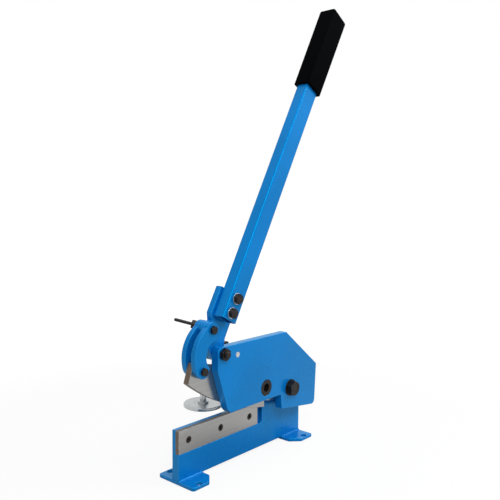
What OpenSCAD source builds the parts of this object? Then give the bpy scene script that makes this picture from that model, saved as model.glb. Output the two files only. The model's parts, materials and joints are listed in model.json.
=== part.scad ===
// Bench lever shear for sheet and round bar.
// X runs along the base from the open end to the blade pivot, Y points away from the
// operator's side, Z is up. The blades meet in the plane at shear_y, the floor is z 0.

/* [Base] */
// Length of the base beam
base_length = 330; // [300:5:400]
// Thickness of the frame plate and of the front cheek
frame_th = 16; // [12:1:20]
// Height of the bed above the floor
bed_height = 92; // [80:1:120]
// Thickness of a foot plate
foot_th = 6; // [4:0.5:10]
// Length of a foot plate along the base
foot_length = 55; // [45:1:70]
// How far a foot reaches out past the face of the frame plate
foot_reach = 35; // [30:1:50]
// Cut-off corner on the inner side of a foot
foot_chamfer = 18; // [8:1:22]
// Diameter of a fixing hole
foot_hole_d = 12; // [9:0.5:14]
// Fixing hole from the outer end of its foot
foot_hole_inset = 20; // [16:1:26]
// Fixing hole from the face of the frame plate
foot_hole_reach = 27; // [20:1:27]
// Leg of the weld between frame and foot
weld_leg = 3; // [2:0.5:5]

/* [Jaw] */
// Height of the throat that the sheet goes into
throat_h = 14.2; // [11:0.1:18]
// Far end of the throat left of the blade pivot
throat_back = 39; // [34:1:42]
// Left edge of the frame's nose at its top, right of the lever pin
nose_in = 23.5; // [20:0.5:28]
// Left edge of the frame's nose at the throat, right of the lever pin
nose_lip_in = 42.5; // [36:0.5:52]
// Height of the frame's nose above the bed
nose_rise = 122; // [121:0.5:124]
// Radius of the frame's ear round the lever pin
ear_r = 14; // [12:0.5:16]

/* [Front cheek] */
// Edge of the cheek left of the lever pin
cheek_edge = 14; // [12:0.5:18]
// Edge of the cheek above the lever pin
cheek_cover = 12; // [11:0.5:16]
// Lower left corner of the cheek right of the lever pin
cheek_toe_in = 17.5; // [14:0.5:26]
// Step in the cheek's lower edge left of the blade pivot
cheek_step_back = 29; // [26:1:33]
// How far the cheek hangs below the bed at the step
cheek_hang = 14; // [10:1:20]
// How much lower the cheek's far corner is than its step
cheek_slope = 15; // [0:1:20]
// How far the cheek stands out past the end of the base
cheek_overhang = 19; // [8:1:24]
// Run of the big bevel at the cheek's far top corner
cheek_bevel_run = 99; // [80:1:110]
// Drop of the big bevel at the cheek's far top corner
cheek_bevel_drop = 79; // [60:1:90]
// Corner radius at the top left of the cheek
cheek_corner_r = 9; // [4:0.5:12]

/* [Lower blade] */
// Length of the lower blade
blade_length = 200; // [180:5:205]
// Height of the lower blade
lower_blade_h = 40; // [30:1:50]
// Thickness of the lower blade
lower_blade_th = 8; // [6:0.5:10]
// Seat length past the far end of the lower blade
seat_spare = 13; // [8:1:18]
// First and last blade screw from the blade's ends
blade_screw_inset = 23; // [16:1:30]
// Thread size of the blade screws
blade_screw_d = 6; // [5:1:8]
// Number of blade screws
blade_screws = 3; // [2:1:4]

/* [Upper blade] */
// Thickness of the upper blade and of the lever plate
upper_blade_th = 12; // [10:0.5:14]
// Blade pivot from the far end of the base
pivot_inset = 66; // [60:1:75]
// Blade pivot above the bed
pivot_rise = 22; // [18:0.5:28]
// Thread size of the blade pivot bolt
pivot_d = 16; // [12:1:18]
// Radius of the blade's eye round its pivot
eye_r = 18; // [16:0.5:20]
// Blade tip left of the pivot
tip_reach = 253.8; // [240:0.2:258]
// Blade tip above the pivot
tip_rise = 56.6; // [50:0.2:64]
// Height of the blade's end edge
end_edge = 35.5; // [30:0.5:44]
// Heel of the cutting edge left of the pivot
heel_reach = 59.4; // [54:0.2:66]
// Heel of the cutting edge below the pivot
heel_drop = 27.2; // [24:0.2:30]
// Bow of the cutting edge
edge_bow = 13.2; // [6:0.2:18]
// Lean of the blade's end edge to the right
end_lean = 2.6; // [0:0.1:6]
// Length of the blade's top edge before it tapers
shoulder_run = 62.2; // [50:0.2:70]
// Drop of the blade's top edge before it tapers
shoulder_drop = 15; // [10:0.5:20]
// Step behind the heel of the cutting edge
heel_relief = 11.8; // [8:0.2:14]
// Corner behind the heel left of the pivot
tail_reach = 32; // [26:0.5:40]
// Corner behind the heel below the pivot
tail_drop = 21; // [18:0.5:22]

/* [Round bar cutter] */
// Cutter axis left of the blade pivot
cutter_back = 72.3; // [66:0.1:78]
// Cutter axis above the blade pivot
cutter_rise = 15.2; // [12:0.1:18]
// Bar hole through both cutter bushes
bar_d = 15; // [10:0.5:17]
// Outer diameter of the bush in the cheek
bush_d = 30; // [26:0.5:32]
// Outer diameter of the bush in the upper blade
moving_bush_d = 28; // [24:0.5:30]
// Opening in the frame plate behind the cutter
offcut_d = 30; // [28:0.5:34]

/* [Lever] */
// Lever pin right of the blade's tip
lever_pin_in = 67.3; // [64:0.1:72]
// Lever pin above the bed
lever_pin_rise = 120.5; // [118:0.5:122]
// Thread size of the lever pin
lever_pin_d = 12; // [10:1:14]
// Lean of the lever at rest
lever_lean = 28.82; // [20:0.01:32]
// Link pin of the lever along the lever
crank_along = 28.5; // [26:0.1:32]
// Link pin of the lever to the side of the lever's axis
crank_side = 38.5; // [36:0.1:42]
// Radius of the lever plate's lobes
lobe_r = 14; // [12:0.5:15]
// End of the lever plate from the lever pin
lever_plate_end = 105.3; // [100:0.1:118]
// Width of the lever plate left of the axis
lever_plate_left = 46; // [42:0.5:50]
// Width of the lever plate right of the axis
lever_plate_right = 7; // [5:0.5:12]

/* [Handle] */
// Width of the handle tube
tube_w = 36; // [30:1:40]
// Depth of the handle tube
tube_d = 24; // [20:1:30]
// Wall of the handle tube
tube_wall = 2.5; // [1.5:0.1:4]
// Lower end of the handle tube from the lever pin
tube_start = 53.3; // [50:0.1:58]
// Upper end of the grip from the lever pin
grip_end = 704; // [560:2:800]
// Length of the grip
grip_length = 176; // [120:2:200]
// Width of the grip at its top
grip_w = 48; // [42:0.5:52]
// Depth of the grip at its top
grip_d = 36; // [30:0.5:40]
// Corner radius of the grip
grip_corner_r = 4.5; // [3:0.5:8]
// Handle tube's near side from the lever's axis
tube_side = 4.5; // [0:0.5:6]
// Thread size of the bolts that hold the tube
tube_bolt_d = 10; // [8:1:12]
// First tube bolt from the end of the tube
tube_bolt_start = 13.2; // [11:0.2:15]
// Distance between the tube bolts
tube_bolt_pitch = 26.4; // [22:0.2:28]

/* [Links] */
// Thickness of a link
link_th = 10; // [6:0.5:12]
// Link foot pin right of the blade tip
link_foot_in = 25.3; // [22:0.1:30]
// Link foot pin above the blade tip
link_foot_up = 18.4; // [16:0.2:20]
// Thread size of the link pins
link_pin_d = 8; // [8:1:12]
// Radius of a link's lower end
link_foot_r = 12.5; // [11:0.5:15]
// Radius of a link's curved back
link_back_r = 60; // [56:0.5:66]
// How far a link's back bows out from the line of its pins
link_bulge = 28.6; // [26:0.2:32]
// Radius of the hollow in a link's front
link_hollow_r = 26; // [22:0.5:34]
// How far the hollow reaches in past the line of the pins
link_hollow_in = 1.6; // [-3:0.2:4]

/* [Hold-down] */
// Hold-down spindle right of the lever pin
holddown_in = 34; // [30:0.5:40]
// Hold-down spindle behind the blades
holddown_y = 56; // [54:0.5:62]
// Thread size of the spindle
spindle_d = 12; // [10:1:14]
// Diameter of the pressure disc
disc_d = 72; // [50:1:74]
// Thickness of the pressure disc
disc_th = 6; // [5:0.5:8]
// Disc above the bed at rest
disc_lift = 4.5; // [4.5:0.5:9]
// Width of the hold-down arm
arm_w = 17; // [15:0.5:20]
// Thickness of the hold-down arm
arm_th = 9; // [6:0.5:12]
// Thickness of the arm's leg on the back of the frame
arm_leg_th = 8; // [6:0.5:10]
// Length of the arm's leg below the top of the frame
arm_leg_drop = 20; // [18:0.5:26]
// Top of the hub above the hold-down arm
hub_top = 29; // [26:0.5:34]
// Diameter of the hub
hub_d = 26; // [18:0.5:28]
// Height of the hub
hub_h = 18; // [12:0.5:19]
// Diameter of the turning rod
rod_d = 6; // [5:0.5:8]
// Reach of the turning rod from the spindle's axis
rod_reach = 53; // [40:1:53]
// Rise of the turning rod
rod_tilt = 14.5; // [10:0.5:20]
// Turn of the rod from straight back
rod_turn = 41; // [0:1:90]

/* [Tie and spacer] */
// Tie pin right of the lever pin
tie_in = 35.5; // [32:0.5:40]
// Tie pin below the lever pin
tie_drop = 7; // [6:0.5:12]
// Diameter of the tie pin
tie_d = 9.5; // [8:0.5:12]
// Thread size of the tie pin's back end
tie_thread_d = 8; // [6:1:8]
// Wall of the sleeve round the tie pin
tie_sleeve_wall = 3; // [2:0.5:5]
// Length of the welded spacer along the base
spacer_length = 38; // [30:1:42]
// Height of the welded spacer
spacer_height = 80; // [60:1:84]

/* [Fits] */
// Gap between pieces that slide past each other
side_gap = 0.3; // [0.2:0.05:0.5]
// Radial room of a pin in its bore
pin_room = 0.05; // [0.03:0.01:0.08]
// Rounding of the plates' outer corners
plate_corner_r = 5; // [2:0.5:8]

/* [Hidden] */
$fn = 48;

// Overrun of every cut
over = 1;
// Points on a rounded corner of an outline and on the bowed cutting edge
corner_steps = 5;
bow_steps = 24;

// Layers across the tool, counted from the plane in which the blades meet
blade_front = -side_gap - upper_blade_th;
cheek_back = blade_front - side_gap;
cheek_front = cheek_back - frame_th;
link_front = cheek_back - link_th;
tube_front = blade_front - tube_d;

// Pins and main points, as [x, z]
pivot = [base_length - pivot_inset, bed_height + pivot_rise];
tip = pivot + [-tip_reach, tip_rise];
lever_pin = [tip[0] + lever_pin_in, bed_height + lever_pin_rise];
heel = pivot + [-heel_reach, -heel_drop];
cutter = pivot + [-cutter_back, cutter_rise];
tie = lever_pin + [tie_in, -tie_drop];
lever_dir = [sin(lever_lean), cos(lever_lean)];
lever_left = [-cos(lever_lean), sin(lever_lean)];
link_head = lever_pin + crank_along * lever_dir + crank_side * lever_left;
link_foot = tip + [link_foot_in, link_foot_up];
link_length = norm(link_head - link_foot);
link_dir = (link_head - link_foot) / link_length;
link_left = [-link_dir[1], link_dir[0]];

// Edges of the jaw, which go with the pin above them
nose_left = lever_pin[0] + nose_in;
nose_lip = lever_pin[0] + nose_lip_in;
cheek_toe = lever_pin[0] + cheek_toe_in;
cheek_step = pivot[0] - cheek_step_back;
throat_end = pivot[0] - throat_back;
holddown_x = lever_pin[0] + holddown_in;

// Fasteners: sizes as shares of the thread size
hex_share = 1.6;
head_share = 0.64;
nut_share = 0.85;
thin_nut_share = 0.5;
jam_nut_share = 0.6;
bolt_end_share = 0.4;
lock_nut_share = 1;
washer_share = 2;
washer_th_share = 0.125;
socket_share = 0.66;
socket_depth_share = 0.5;
countersink_share = 2;
point_share = 0.1;
hex_sides = 6;

function washer_th(d) = d * washer_th_share;
function unit(v) = v / norm(v);
function turned(r, a) = r * [cos(a), sin(a)];
function between(a, b, share) = a + (b - a) * share;
// Angle of b from a, between -180 and 180 degrees
function sweep(a, b) = let (d = b - a) d - 360 * round(d / 360);
// Points of the arc that rounds corner p, whose neighbours are a and b, with radius r
function rounded_corner(p, a, b, r) =
    let (u = unit(a - p), v = unit(b - p), half = acos(u * v) / 2,
         c = p + unit(u + v) * r / sin(half),
         s = p + u * r / tan(half) - c, e = p + v * r / tan(half) - c,
         start = atan2(s[1], s[0]), turn = sweep(start, atan2(e[1], e[0])))
    [for (i = [0:corner_steps]) c + turned(r, start + turn * i / corner_steps)];
// Outline with each corner rounded by its own radius, where zero keeps it sharp
function rounded(points, radii) =
    let (n = len(points))
    [for (i = [0:n - 1]) each radii[i] == 0 ? [points[i]]
        : rounded_corner(points[i], points[(i + n - 1) % n], points[(i + 1) % n], radii[i])];
// Points of the arc from a to b that bows out by bow to the right of its chord
function bowed(a, b, bow) =
    let (r = (pow(norm(b - a) / 2, 2) + bow * bow) / (2 * bow),
         d = unit(b - a), c = (a + b) / 2 + [-d[1], d[0]] * (r - bow),
         start = atan2(a[1] - c[1], a[0] - c[0]),
         turn = sweep(start, atan2(b[1] - c[1], b[0] - c[0])))
    [for (i = [0:bow_steps]) c + turned(r, start + turn * i / bow_steps)];

// The origin is the centre of the four fixing holes on the underside
module in_place() {
    translate([-base_length / 2, -frame_th / 2, 0]) children();
}
// Outline in x and z, made solid from y to y + th
module plate(y, th) {
    translate([0, y + th, 0]) rotate([90, 0, 0]) linear_extrude(th) children();
}
// Round bar along y, from y to y + length, at point p
module bar(p, y, length, d) {
    translate([p[0], y + length, p[1]]) rotate([90, 0, 0]) cylinder(h = length, d = d);
}
// Hexagon bar along y with its corners up and down
module hex_bar(p, y, length, flats) {
    translate([p[0], y + length, p[1]]) rotate([90, 90, 0])
        cylinder(h = length, d = flats / cos(180 / hex_sides), $fn = hex_sides);
}
// Ring along y
module ring(p, y, length, outer, inner) {
    difference() {
        bar(p, y, length, outer);
        bar(p, y - over, length + 2 * over, inner);
    }
}
// Hexagon head with its chamfered face towards -y, its seat at y
module hex_head(p, y, d, height) {
    flats = d * hex_share;
    corner = flats / cos(180 / hex_sides);
    intersection() {
        hex_bar(p, y - height, height, flats);
        translate([p[0], y, p[1]]) rotate([90, 0, 0])
            rotate_extrude() polygon([[0, 0], [corner / 2, 0],
                [corner / 2, height - (corner - flats) / 2],
                [flats / 2, height], [0, height]]);
    }
}
// Bolt along y: seat of its head at y, towards -y, and a plain shank of the given length
module hex_bolt(p, y, d, length) {
    hex_head(p, y, d, d * head_share);
    bar(p, y, length - d * point_share, d);
    translate([p[0], y + length - d * point_share, p[1]]) rotate([-90, 0, 0])
        cylinder(h = d * point_share, d1 = d, d2 = d * (1 - 2 * point_share));
}
// Nut along y, with its seat at y and its chamfered face towards +y
module hex_nut(p, y, d, height) {
    flats = d * hex_share;
    corner = flats / cos(180 / hex_sides);
    difference() {
        intersection() {
            hex_bar(p, y, height, flats);
            translate([p[0], y, p[1]]) rotate([-90, 0, 0])
                rotate_extrude() polygon([[0, 0], [corner / 2, 0],
                    [corner / 2, height - (corner - flats) / 2],
                    [flats / 2, height], [0, height]]);
        }
        bar(p, y - over, height + 2 * over, d + 2 * pin_room);
    }
}
module bore(p, y, length, d) {
    bar(p, y - over, length + 2 * over, d + 2 * pin_room);
}

// Frame: beam, throat, nose and ear are one plate
module main_frame() color("royalblue") in_place() difference() {
    jaw_z = bed_height + throat_h;
    top_z = bed_height + nose_rise;
    bevel_x = base_length + cheek_overhang - cheek_bevel_run;
    bevel_z = lever_pin[1] + cheek_cover - cheek_bevel_drop;
    outline = [[0, foot_th], [base_length, foot_th], [base_length, bevel_z],
               [bevel_x, top_z], [nose_left, top_z], [lever_pin[0], lever_pin[1] + ear_r],
               [lever_pin[0], lever_pin[1] - ear_r], [nose_left, lever_pin[1] - ear_r],
               [nose_left, between(jaw_z, top_z, nose_share)], [nose_lip, jaw_z],
               [throat_end, jaw_z], [throat_end, bed_height], [0, bed_height]];
    union() {
        plate(0, frame_th) polygon(rounded(outline,
            [0, 0, plate_corner_r, plate_corner_r, plate_corner_r, 0, 0, plate_corner_r,
             plate_corner_r, plate_corner_r, throat_h / 3, throat_h / 3, 0]));
        bar(lever_pin, 0, frame_th, 2 * ear_r);
    }
    plate(-over, lower_blade_th + over) polygon(rounded(
        [[-over, bed_height - lower_blade_h],
         [blade_length + seat_spare, bed_height - lower_blade_h],
         [blade_length + seat_spare, bed_height + over], [-over, bed_height + over]],
        [0, plate_corner_r, 0, 0]));
    for (p = blade_screw_places()) bore(p, 0, frame_th, blade_screw_d);
    bore(pivot, 0, frame_th, pivot_d);
    bore(lever_pin, 0, frame_th, lever_pin_d);
    bore(tie, 0, frame_th, tie_d);
    bore(cutter, 0, frame_th, offcut_d);
}

// Foot plate with its inner corners cut off, two fixing holes and the welds to the frame
module foot() difference() {
    width = frame_th + 2 * foot_reach;
    union() {
        linear_extrude(foot_th) translate([0, -foot_reach]) polygon(rounded(
            [[0, 0], [foot_length - foot_chamfer, 0], [foot_length, foot_chamfer],
             [foot_length, width - foot_chamfer], [foot_length - foot_chamfer, width],
             [0, width]],
            [plate_corner_r, plate_corner_r, plate_corner_r,
             plate_corner_r, plate_corner_r, plate_corner_r]));
        for (side = [0, 1]) translate([0, side * frame_th, foot_th])
            mirror([0, side, 0]) rotate([90, 0, 90])
                linear_extrude(foot_length) polygon([[-weld_leg, 0], [0, 0], [0, weld_leg]]);
    }
    for (y = [-foot_hole_reach, frame_th + foot_hole_reach])
        translate([foot_hole_inset, y, -over])
            cylinder(h = foot_th + 2 * over, d = foot_hole_d);
}
module near_foot() color("royalblue") in_place() foot();
module far_foot() color("royalblue") in_place()
    translate([base_length, frame_th, 0]) rotate([0, 0, 180]) foot();

// Lower blade in its seat, held by countersunk screws
function blade_screw_places() =
    [for (i = [0:blade_screws - 1])
        [blade_screw_inset + i * (blade_length - 2 * blade_screw_inset) / (blade_screws - 1),
         bed_height - lower_blade_h / 2]];
module lower_blade() color("silver") in_place() difference() {
    plate(0, lower_blade_th) translate([0, bed_height - lower_blade_h])
        square([blade_length, lower_blade_h]);
    for (p = blade_screw_places()) {
        bore(p, 0, lower_blade_th, blade_screw_d);
        countersink(p, blade_screw_d * countersink_share + 2 * pin_room);
    }
}
// Round sink with a short straight mouth and a cone down to the screw's shank
module countersink(p, d) {
    mouth = blade_screw_d * point_share;
    translate([p[0], 0, p[1]]) rotate([-90, 0, 0]) {
        translate([0, 0, -over]) cylinder(h = over + mouth, d = d);
        translate([0, 0, mouth]) cylinder(h = (d - blade_screw_d) / 2, d1 = d, d2 = blade_screw_d);
    }
}
module lower_blade_screws() color("dimgray") in_place() for (p = blade_screw_places()) {
    head_d = blade_screw_d * countersink_share;
    mouth = blade_screw_d * point_share;
    length = frame_th + blade_screw_d * (nut_share + point_share);
    difference() {
        translate([p[0], mouth, p[1]]) rotate([-90, 0, 0]) {
            cylinder(h = (head_d - blade_screw_d) / 2, d1 = head_d, d2 = blade_screw_d);
            cylinder(h = length - mouth, d = blade_screw_d);
        }
        hex_bar(p, mouth - over, over + blade_screw_d * socket_depth_share,
                blade_screw_d * socket_share);
    }
}
module lower_blade_nuts() color("dimgray") in_place()
    for (p = blade_screw_places()) hex_nut(p, frame_th, blade_screw_d, blade_screw_d * nut_share);

// Front cheek: the outer plate of the jaw, with its long bevel and stepped lower edge
module front_cheek() color("dodgerblue") in_place() difference() {
    left = lever_pin[0] - cheek_edge;
    right = base_length + cheek_overhang;
    top_z = lever_pin[1] + cheek_cover;
    under_z = bed_height + throat_h;
    step_z = bed_height - cheek_hang;
    shoulder_z = between(under_z, top_z, cheek_shoulder_share);
    outline = [[left, top_z], [left, shoulder_z],
               [cheek_toe - throat_h / 2, under_z + throat_h / 2], [cheek_toe, under_z],
               [cheek_step, under_z], [cheek_step + plate_corner_r / 2, step_z],
               [right - plate_corner_r, step_z - cheek_slope],
               [right, top_z - cheek_bevel_drop],
               [right - cheek_bevel_run, top_z]];
    plate(cheek_back - frame_th, frame_th) polygon(rounded(outline,
        [cheek_corner_r, 2 * cheek_corner_r, plate_corner_r, plate_corner_r,
         plate_corner_r / 2, plate_corner_r / 2, cheek_corner_r,
         plate_corner_r / 2, plate_corner_r / 2]));
    bore(pivot, cheek_front, frame_th, pivot_d);
    bore(lever_pin, cheek_front, frame_th, lever_pin_d);
    bore(tie, cheek_front, frame_th, tie_d);
    bore(cutter, cheek_front, frame_th, bush_d);
}
// Heights at which the nose of cheek and frame start to slant, as shares of the nose
cheek_shoulder_share = 0.66;
nose_share = 0.7;

// Block welded between frame and cheek behind the blade pivot
module cheek_spacer() color("royalblue") in_place()
    translate([base_length - spacer_length, cheek_back, bed_height - cheek_hang])
        cube([spacer_length, -cheek_back, spacer_height]);
// Tie pin: flush in the cheek, threaded at its back end, where it holds the hold-down arm
module tie_pin() color("gainsboro") in_place() {
    bar(tie, cheek_front, frame_th - cheek_front, tie_d);
    bar(tie, frame_th, arm_leg_th + tie_thread_d * (nut_share + point_share), tie_thread_d);
}
module tie_nut() color("dimgray") in_place()
    hex_nut(tie, frame_th + arm_leg_th, tie_thread_d, tie_thread_d * nut_share);
module tie_sleeve() color("royalblue") in_place()
    ring(tie, cheek_back, -cheek_back, tie_d + 2 * tie_sleeve_wall, tie_d + 2 * pin_room);

// Round bar cutter: one bush in the cheek, one in the upper blade
module fixed_cutter_bush() color("dimgray") in_place()
    ring(cutter, cheek_front, frame_th, bush_d, bar_d);
module moving_cutter_bush() color("dimgray") in_place()
    ring(cutter, blade_front, upper_blade_th, moving_bush_d, bar_d);

// Upper blade: bowed cutting edge, square end, tapering back to the eye
module upper_blade() color("silver") in_place() difference() {
    top = tip + [end_lean, end_edge];
    knee = top + [shoulder_run, -shoulder_drop];
    back = knee - pivot;
    tangent = pivot + turned(eye_r, atan2(back[1], back[0]) - acos(eye_r / norm(back)));
    tail = pivot + [-tail_reach, -tail_drop];
    union() {
        plate(blade_front, upper_blade_th) polygon([
            each bowed(tip, heel, edge_bow), heel + [0, heel_relief], tail,
            tail + [0, tail_drop / 2], pivot + turned(eye_r, eye_start), pivot,
            tangent, knee, top]);
        bar(pivot, blade_front, upper_blade_th, 2 * eye_r);
    }
    bore(pivot, blade_front, upper_blade_th, pivot_d);
    bore(cutter, blade_front, upper_blade_th, moving_bush_d);
    bore(link_foot, blade_front, upper_blade_th, link_pin_d);
}
// Angle at which the blade's lower edge runs into its eye
eye_start = 215;

// Blade pivot: a hexagon bolt from the front through cheek, blade and frame
module blade_pivot_bolt() color("dimgray") in_place()
    hex_bolt(pivot, cheek_front - washer_th(pivot_d), pivot_d,
             frame_th - cheek_front + 2 * washer_th(pivot_d)
             + pivot_d * (nut_share + point_share));
module blade_pivot_washers() color("dimgray") in_place()
    for (y = [cheek_front - washer_th(pivot_d), frame_th]) washer(pivot, y, pivot_d);
module blade_pivot_nut() color("dimgray") in_place()
    hex_nut(pivot, frame_th + washer_th(pivot_d), pivot_d, pivot_d * nut_share);

// Lever pin: a bolt from the back through frame, lever plate and cheek, with a jam nut
module lever_pivot_bolt() color("dimgray") in_place() mirror([0, 1, 0])
    hex_bolt(lever_pin, -frame_th - washer_th(lever_pin_d), lever_pin_d,
             frame_th - cheek_front + washer_th(lever_pin_d)
             + lever_pin_d * (jam_nut_share + bolt_end_share));
module lever_pivot_washer() color("dimgray") in_place()
    washer(lever_pin, frame_th, lever_pin_d);
module lever_pivot_nut() color("dimgray") in_place() mirror([0, 1, 0])
    hex_nut(lever_pin, -cheek_front, lever_pin_d, lever_pin_d * jam_nut_share);

module washer(p, y, d) {
    ring(p, y, washer_th(d), d * washer_share, d + 2 * pin_room);
}

// Lever plate: two lobes for its pins and a broad ear that carries the handle tube
function on_lever(along, side) = lever_pin + along * lever_dir + side * lever_left;
function tube_bolt_places() =
    [for (i = [0:1]) on_lever(tube_start + tube_bolt_start + i * tube_bolt_pitch,
                              tube_side + tube_w * bolt_line_share)];
bolt_line_share = 0.54;
module lever_plate() color("royalblue") in_place() difference() {
    web = unit(link_head - lever_pin);
    below = lobe_r * [-web[1], web[0]];
    neck = crank_along + lobe_r;
    union() {
        plate(blade_front, upper_blade_th) polygon(rounded(
            [lever_pin + below, link_head + below, link_head,
             on_lever(neck + washer_th(lobe_r), crank_side),
             on_lever(tube_start + washer_th(lobe_r), lever_plate_left),
             on_lever(lever_plate_end, lever_plate_left),
             on_lever(lever_plate_end, -lever_plate_right),
             on_lever(crank_along, -lever_plate_right), on_lever(0, -lobe_r)],
            [0, 0, 0, plate_corner_r, plate_corner_r, plate_corner_r / 2,
             plate_corner_r / 2, plate_corner_r, 0]));
        bar(lever_pin, blade_front, upper_blade_th, 2 * lobe_r);
        bar(link_head, blade_front, upper_blade_th, 2 * lobe_r);
    }
    bore(lever_pin, blade_front, upper_blade_th, lever_pin_d);
    bore(link_head, blade_front, upper_blade_th, link_pin_d);
    for (p = tube_bolt_places()) bore(p, blade_front, upper_blade_th, tube_bolt_d);
}

// Frame of the handle: z runs along the lever, x to its right
module along_lever() {
    translate([lever_pin[0], 0, lever_pin[1]]) rotate([0, lever_lean, 0]) children();
}
// Rectangle with rounded corners, centred
module soft_rectangle(w, d, r) {
    polygon(rounded([[-w / 2, -d / 2], [w / 2, -d / 2], [w / 2, d / 2], [-w / 2, d / 2]],
                    [r, r, r, r]));
}
module on_tube_axis(z) {
    translate([-tube_side - tube_w / 2, blade_front - tube_d / 2, z]) children();
}
module handle_tube() color("dodgerblue") in_place() difference() {
    top = grip_end - 2 * tube_wall;
    along_lever() on_tube_axis(tube_start) difference() {
        linear_extrude(top - tube_start) soft_rectangle(tube_w, tube_d, 1.2 * tube_wall);
        translate([0, 0, -over]) linear_extrude(top - tube_start + 2 * over)
            soft_rectangle(tube_w - 2 * tube_wall, tube_d - 2 * tube_wall, tube_wall / 2);
    }
    for (p = tube_bolt_places()) bore(p, tube_front, tube_d, tube_bolt_d);
}
// Rubber grip: a thick square sleeve with a closed flat top
module handle_grip() color("black") in_place() along_lever() difference() {
    start = grip_end - grip_length;
    hull() for (slab = grip_shares)
        on_tube_axis(start + slab[0] * (grip_length - slice_th))
            linear_extrude(slice_th)
            soft_rectangle(grip_w * slab[1], grip_d * slab[1], grip_corner_r * slab[1]);
    on_tube_axis(start - over) linear_extrude(grip_length + over - 2 * tube_wall + pin_room)
        soft_rectangle(tube_w + 2 * pin_room, tube_d + 2 * pin_room, 1.2 * tube_wall);
}
module tube_bolts() color("dimgray") in_place() for (p = tube_bolt_places())
    hex_bolt(p, tube_front - washer_th(tube_bolt_d), tube_bolt_d,
             tube_d + upper_blade_th + washer_th(tube_bolt_d)
             + tube_bolt_d * (nut_share + point_share));
module tube_washers() color("gainsboro") in_place() for (p = tube_bolt_places())
    washer(p, tube_front - washer_th(tube_bolt_d), tube_bolt_d);
module tube_nuts() color("dimgray") in_place() for (p = tube_bolt_places())
    hex_nut(p, -side_gap, tube_bolt_d, tube_bolt_d * nut_share);

// Swell of the grip: place along it and width, as shares of its length and full width
grip_shares = [[0, 0.97], [0.85, 1], [0.985, 1], [1, 0.94]];
slice_th = 0.01;

// Links: a pair of hooked plates with a round back and a round hollow in front
back_station_share = 0.452;
hollow_station_share = 0.44;
function on_link(share, side) = between(link_foot, link_head, share) + side * link_left;
module link_outline() {
    reach = link_bulge + over;
    crown = 1 + lobe_r / link_length;
    intersection() {
        difference() {
            translate(on_link(back_station_share, link_bulge - link_back_r))
                circle(link_back_r, $fn = 144);
            translate(on_link(hollow_station_share, link_hollow_in - link_hollow_r))
                circle(link_hollow_r, $fn = 96);
        }
        polygon([on_link(0, reach), on_link(0, -link_foot_r), on_link(1, -lobe_r),
                 on_link(1, 0), on_link(crown, 0), on_link(crown, reach)]);
    }
    translate(link_head) circle(lobe_r);
    translate(link_foot) circle(link_foot_r);
}
module link(y) difference() {
    plate(y, link_th) link_outline();
    bore(link_head, y, link_th, link_pin_d);
    bore(link_foot, y, link_th, link_pin_d);
}
module front_link() color("dodgerblue") in_place() link(link_front);
module rear_link() color("royalblue") in_place() link(0);

// The upper link pin is open: its two ends are held in the links and its middle is left out
module upper_link_bolt() color("dimgray") in_place() {
    hex_bolt(link_head, link_front, link_pin_d, link_th);
    bar(link_head, 0, link_pin_end() - link_pin_d * point_share, link_pin_d);
}
function link_pin_end() = link_th + washer_th(link_pin_d)
    + link_pin_d * (lock_nut_share + point_share);
module lower_link_bolt() color("dimgray") in_place()
    hex_bolt(link_foot, link_front, link_pin_d, link_pin_end() - link_front);
module link_washers() color("dimgray") in_place()
    for (p = [link_head, link_foot]) washer(p, link_th, link_pin_d);
module link_nuts() color("dimgray") in_place() for (p = [link_head, link_foot])
    hex_nut(p, link_th + washer_th(link_pin_d), link_pin_d, link_pin_d * lock_nut_share);

// Hold-down: a screwed spindle in an angled arm on the frame's nose, with a loose disc
arm_z = bed_height + nose_rise;
arm_top = arm_z + arm_th;
disc_z = bed_height + disc_lift;
disc_top = disc_z + disc_th;
collar_h = disc_th * 0.6;
spigot_d = spindle_d * 2 / 3;
disc_screw_d = spindle_d * 0.4;
disc_recess = disc_th * 0.4;
hub_z = arm_top + hub_top - hub_h;
hub_bevel = hub_h / 13;
module at_spindle(z) {
    translate([holddown_x, holddown_y, z]) children();
}
module upright_nut(d, height) {
    rotate([90, 0, 0]) hex_nut([0, 0], 0, d, height);
}
module holddown_arm() color("dimgray") in_place() difference() {
    union() {
        translate([holddown_x - arm_w / 2, side_gap, arm_z])
            cube([arm_w, holddown_y - side_gap, arm_th]);
        translate([holddown_x - arm_w / 2, frame_th, arm_z - arm_leg_drop])
            cube([arm_w, arm_leg_th, arm_leg_drop + arm_th]);
        at_spindle(arm_z) cylinder(h = arm_th, d = 2 * spindle_d);
    }
    at_spindle(arm_z - over) cylinder(h = arm_th + 2 * over, d = spindle_d + 2 * pin_room);
    bore(tie, frame_th, arm_leg_th, tie_thread_d);
}
module holddown_lock_nut() color("gainsboro") in_place()
    at_spindle(arm_top) upright_nut(spindle_d, spindle_d * thin_nut_share);
module holddown_spindle() color("gainsboro") in_place() difference() {
    top = hub_z + hub_h / 4;
    foot_z = disc_z + disc_recess - pin_room;
    shoulder = disc_top + pin_room;
    union() {
        at_spindle(shoulder) cylinder(h = top - shoulder, d = spindle_d);
        at_spindle(foot_z) cylinder(h = shoulder - foot_z, d = spigot_d);
    }
    at_spindle(foot_z - over)
        cylinder(h = 3 * disc_th + over, d = disc_screw_d + 2 * pin_room);
}
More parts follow.
